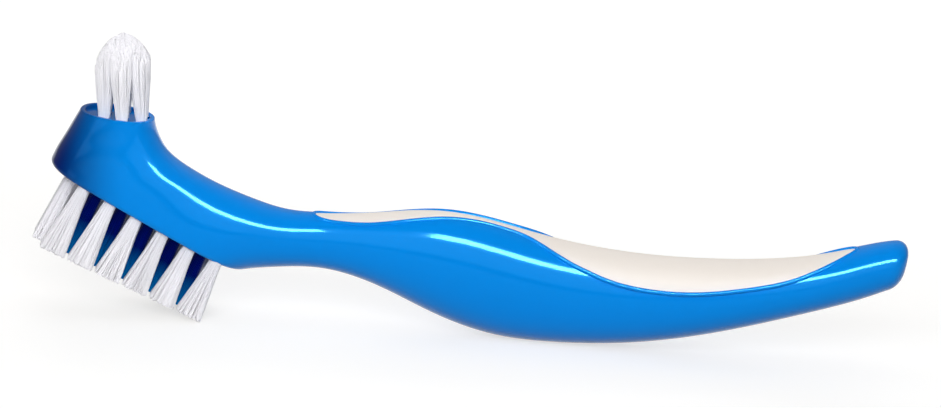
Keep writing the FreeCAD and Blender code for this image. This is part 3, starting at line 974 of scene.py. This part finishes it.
@dataclass(frozen=True)
class MouldedRubber:
    """Soft grip rubber moulded in a spark-eroded tool: a fine satin grain with no sharp glint."""

    name: str = "thermoplastic_rubber_moulded_cream"
    colour: str = "f5ede5"
    roughness: float = 0.62
    ior: float = 1.5
    gloss: float = 0.2
    grain_mm: float = 0.35
    grain_height_mm: float = 0.05
    grain_strength: float = 0.12

    def material(self) -> bpy.types.Material:
        """Make the material.

        Returns:
            The material, with its fine grain.
        """
        material, tree = new_material(self.name)
        spot = add_node(tree, "ShaderNodeTexCoord").outputs["Object"]
        grain = add_node(tree, "ShaderNodeTexNoise", Vector=spot,
                         Scale=1 / (self.grain_mm * MM), Detail=2.0)
        bump = add_node(tree, "ShaderNodeBump", Height=grain.outputs["Fac"],
                        Strength=self.grain_strength, Distance=self.grain_height_mm * MM)
        rubber = add_node(tree, "ShaderNodeBsdfPrincipled", Base_Color=linear(self.colour),
                          Roughness=self.roughness, IOR=self.ior,
                          Specular_IOR_Level=self.gloss, Normal=bump.outputs["Normal"])
        add_node(tree, "ShaderNodeOutputMaterial", Surface=rubber.outputs["BSDF"])
        return material


@dataclass(frozen=True)
class DrawnNylon:
    """Drawn nylon bristles: a soft sheen along each one, and its own shade of the colour."""

    name: str
    # Colour at the root, darker than at the tip: painted shade where the bristles crowd into the
    # handle
    root: str
    tip: str
    # Share of the bristle's height at which the painted shade of the root starts to give way to
    # the colour of the tip
    tip_start: float = 0.0
    spread: float = 0.1
    shine: str = "ffffff"
    roughness: float = 0.38
    ior: float = 1.53

    def material(self) -> bpy.types.Material:
        """Make the material.

        Returns:
            The material, whose colour runs from a darker root, which is painted shade, to the tip,
            and differs by bristle.
        """
        material, tree = new_material(self.name)
        tint = add_node(tree, "ShaderNodeAttribute", {"attribute_name": "tint"})
        parts = add_node(tree, "ShaderNodeSeparateColor", Color=tint.outputs["Color"])
        # Painted shade: the colour darkens from the tip down to the root
        along = add_node(tree, "ShaderNodeMapRange", Value=parts.outputs["Red"],
                         From_Min=self.tip_start)
        colour = add_node(tree, "ShaderNodeMix", {"data_type": "RGBA"},
                          {MIX_FIRST: linear(self.root), MIX_SECOND: linear(self.tip)},
                          Factor=along.outputs["Result"])
        shade = add_node(tree, "ShaderNodeMapRange", Value=parts.outputs["Green"],
                         To_Min=1 - self.spread)
        shaded = add_node(tree, "ShaderNodeHueSaturation", Color=colour.outputs[MIX_RESULT],
                          Value=shade.outputs["Result"])
        nylon = add_node(tree, "ShaderNodeBsdfPrincipled", Base_Color=shaded.outputs["Color"],
                         Roughness=self.roughness, IOR=self.ior,
                         Specular_Tint=linear(self.shine))
        add_node(tree, "ShaderNodeOutputMaterial", Surface=nylon.outputs["BSDF"])
        return material


@dataclass(frozen=True)
class RolledBrass:
    """Rolled brass strip of the anchor plates: bright, with a fine grain from the rolls."""

    name: str = "brass_rolled_strip"
    colour: str = "d9b36a"
    roughness: float = 0.32
    grain_mm: float = 0.15
    grain_height_mm: float = 0.02
    grain_strength: float = 0.1

    def material(self) -> bpy.types.Material:
        """Make the material.

        Returns:
            The material.
        """
        material, tree = new_material(self.name)
        spot = add_node(tree, "ShaderNodeTexCoord").outputs["Object"]
        grain = add_node(tree, "ShaderNodeTexNoise", Vector=spot,
                         Scale=1 / (self.grain_mm * MM), Detail=1.0)
        bump = add_node(tree, "ShaderNodeBump", Height=grain.outputs["Fac"],
                        Strength=self.grain_strength, Distance=self.grain_height_mm * MM)
        brass = add_node(tree, "ShaderNodeBsdfPrincipled", Base_Color=linear(self.colour),
                         Metallic=1.0, Roughness=self.roughness, Normal=bump.outputs["Normal"])
        add_node(tree, "ShaderNodeOutputMaterial", Surface=brass.outputs["BSDF"])
        return material


@dataclass(frozen=True)
class Lamp:
    """One rectangular lamp, which faces the point that it is aimed at."""

    name: str
    spot: tuple[float, float, float]
    size: tuple[float, float]
    watts: float
    aim: tuple[float, float, float] = (0, 0, 15)
    # Direction of the long side
    along: tuple[float, float, float] = (1, 0, 0)
    # Whether glossy surfaces show the lamp, and whether it lights matt ones
    mirrored: bool = True
    lights: bool = True

    def build(self) -> None:
        """Hang the lamp."""
        data = bpy.data.lights.new(self.name, "AREA")
        data.shape = "RECTANGLE"
        data.size = self.size[0] * MM
        data.size_y = self.size[1] * MM
        data.energy = self.watts
        lamp = bpy.data.objects.new(self.name, data)
        bpy.context.collection.objects.link(lamp)
        side = Vector(self.along).normalized()
        back = (Vector(self.spot) - Vector(self.aim)).normalized()
        above = back.cross(side).normalized()
        turn = Matrix((side, above, side.cross(above))).transposed().to_4x4()
        lamp.matrix_world = Matrix.Translation(Vector(self.spot) * MM) @ turn
        lamp.visible_glossy = self.mirrored
        lamp.visible_diffuse = self.lights


@dataclass(frozen=True)
class Studio:
    """White table, soft lights and the camera at the photograph's angle."""

    mm_per_px: float = 0.194
    elevation: float = 15.0
    roll: float = 4.6
    target: tuple[float, float, float] = (-0.47, 0.0, 26.08)
    distance: float = 1200.0
    clip_start: float = 50.0
    sensor: float = 36.0
    table_side: float = 6000.0
    # Light that the table gives off where the camera or a mirror sees it, and its paint there
    floor_glow: float = 0.64
    floor_tint: str = "fffefc"
    floor_shade: str = "b4b4b4"
    # Paint of the table for the light that it throws on the brush
    floor_paint: str = "8c8c8c"
    sky_level: float = 0.28
    lamps: tuple[Lamp, ...] = (
        Lamp("top_fill", (-40, 200, 450), (500, 400), 0.45, mirrored=False),
        Lamp("back_fill", (40, 520, 280), (600, 300), 1.4, mirrored=False),
        Lamp("front_fill", (-60, -520, 260), (500, 300), 2.6, mirrored=False),
        Lamp("right_tube", (100, -335, 275), (300, 75), 6.8, aim=(60, 0, 15),
             along=(325, -20, -50), lights=False),
        Lamp("left_tube", (-255, -330, 285), (150, 60), 3.2, aim=(60, 0, 15), lights=False),
        Lamp("front_tent", (0, -600, 330), (1600, 560), 4.0, aim=(0, 0, 40), lights=False),
    )

    def camera(self) -> None:
        """Place the camera far off with a long lens, so that the view is almost parallel."""
        tilt = math.radians(self.elevation)
        roll = math.radians(self.roll)
        upright = Vector((0, math.sin(tilt), math.cos(tilt)))
        along = Vector((1, 0, 0))
        right = along * math.cos(roll) + upright * math.sin(roll)
        above = upright * math.cos(roll) - along * math.sin(roll)
        back = right.cross(above)
        data = bpy.data.cameras.new("long_lens")
        data.sensor_width = self.sensor
        data.lens = self.sensor * self.distance / (PHOTO_WIDTH_PX * self.mm_per_px)
        data.clip_start = self.clip_start * MM
        camera = bpy.data.objects.new("long_lens", data)
        bpy.context.collection.objects.link(camera)
        turn = Matrix((right, above, back)).transposed().to_4x4()
        spot = (Vector(self.target) + back * self.distance) * MM
        camera.matrix_world = Matrix.Translation(spot) @ turn
        bpy.context.scene.camera = camera

    def table_material(self) -> bpy.types.Material:
        """Make the table's material.

        Returns:
            Matt white that glows where it is seen, so it stays white and keeps the soft shadow.
        """
        material, tree = new_material("matt_white_table")
        path = add_node(tree, "ShaderNodeLightPath")
        seen = add_node(tree, "ShaderNodeMath", {"operation": "MAXIMUM"},
                        {0: path.outputs["Is Camera Ray"], 1: path.outputs["Is Transmission Ray"]})
        shown = add_node(tree, "ShaderNodeMath", {"operation": "MAXIMUM"},
                         {0: seen.outputs["Value"], 1: path.outputs["Is Glossy Ray"]})
        glow = add_node(tree, "ShaderNodeEmission", Strength=self.floor_glow,
                        Color=linear(self.floor_tint))
        shaded = add_node(tree, "ShaderNodeBsdfDiffuse", Color=linear(self.floor_shade))
        backdrop = add_node(tree, "ShaderNodeAddShader", None,
                            {0: glow.outputs["Emission"], 1: shaded.outputs["BSDF"]})
        paint = add_node(tree, "ShaderNodeBsdfDiffuse", Color=linear(self.floor_paint))
        surface = add_node(tree, "ShaderNodeMixShader", None,
                           {1: paint.outputs["BSDF"], 2: backdrop.outputs["Shader"]},
                           Fac=shown.outputs["Value"])
        add_node(tree, "ShaderNodeOutputMaterial", Surface=surface.outputs["Shader"])
        return material

    def table(self) -> None:
        """Lay the white table that the brush lies on."""
        bpy.ops.object.select_all(action="DESELECT")
        bpy.ops.mesh.primitive_plane_add(size=self.table_side * MM, location=(0, 0, 0))
        table = bpy.context.object
        table.name = "white_table"
        table.data.materials.append(self.table_material())

    def sky(self) -> None:
        """Fill the room with even white light."""
        world = bpy.data.worlds.new("white_room")
        bpy.context.scene.world = world
        world.use_nodes = True
        background = world.node_tree.nodes["Background"]
        background.inputs["Color"].default_value = linear("ffffff")
        background.inputs["Strength"].default_value = self.sky_level

    def build(self) -> None:
        """Set up the whole studio."""
        self.camera()
        self.table()
        self.sky()
        for lamp in self.lamps:
            lamp.build()
        bpy.context.scene.view_settings.view_transform = "Standard"


def dress(piece: bpy.types.Object, material: bpy.types.Material, node: str) -> None:
    """Give a piece its material and its body, and hide the solid that it stands for.

    Args:
        piece: The new piece.
        material: Its material.
        node: Name of the solid.
    """
    piece.data.materials.clear()
    piece.data.materials.append(material)
    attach(piece, "root")
    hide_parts(node)
    LOG.info("%s stands for %s", piece.name, node)


def main() -> None:
    """Build the brush and its studio."""
    logging.basicConfig(level=logging.INFO, format="%(message)s")
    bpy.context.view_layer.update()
    handle = Handle()
    tufts = [*FlatBrush(handle).tufts(), *SmallBrush(handle).tufts()]
    moulding, inlay = handle.build([tuft.hole() for tuft in tufts])
    dress(moulding, MouldedPolypropylene().material(), "handle")
    dress(inlay, MouldedRubber().material(), "grip_inlay")
    # Root colours are painted shade. The blue tip colour is the nylon's own, and the navy at its
    # root is painted shade. The white darkens slightly towards its root.
    nylon = {
        BristleColour.WHITE: DrawnNylon("nylon_drawn_white", "eeeef4", "fcfbff").material(),
        BristleColour.BLUE: DrawnNylon("nylon_drawn_blue", "000050", "008cd8",
                                       tip_start=0.45, shine="0050ff").material(),
    }
    dice = random.Random(BRISTLE_SEED)
    bristle = Bristle().build()
    for tuft in tufts:
        piece = tuft.build(bristle, dice)
        dress(piece, nylon[tuft.colour], tuft.node)
    bpy.data.objects.remove(bristle)
    brass = RolledBrass().material()
    for name in ("flat_side_anchors", "small_side_anchors"):
        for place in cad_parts[name].material_slots:
            place.material = brass
        LOG.info("%s keeps its solids and gets brass", name)
    Studio().build()


if __name__ == "__main__":
    main()
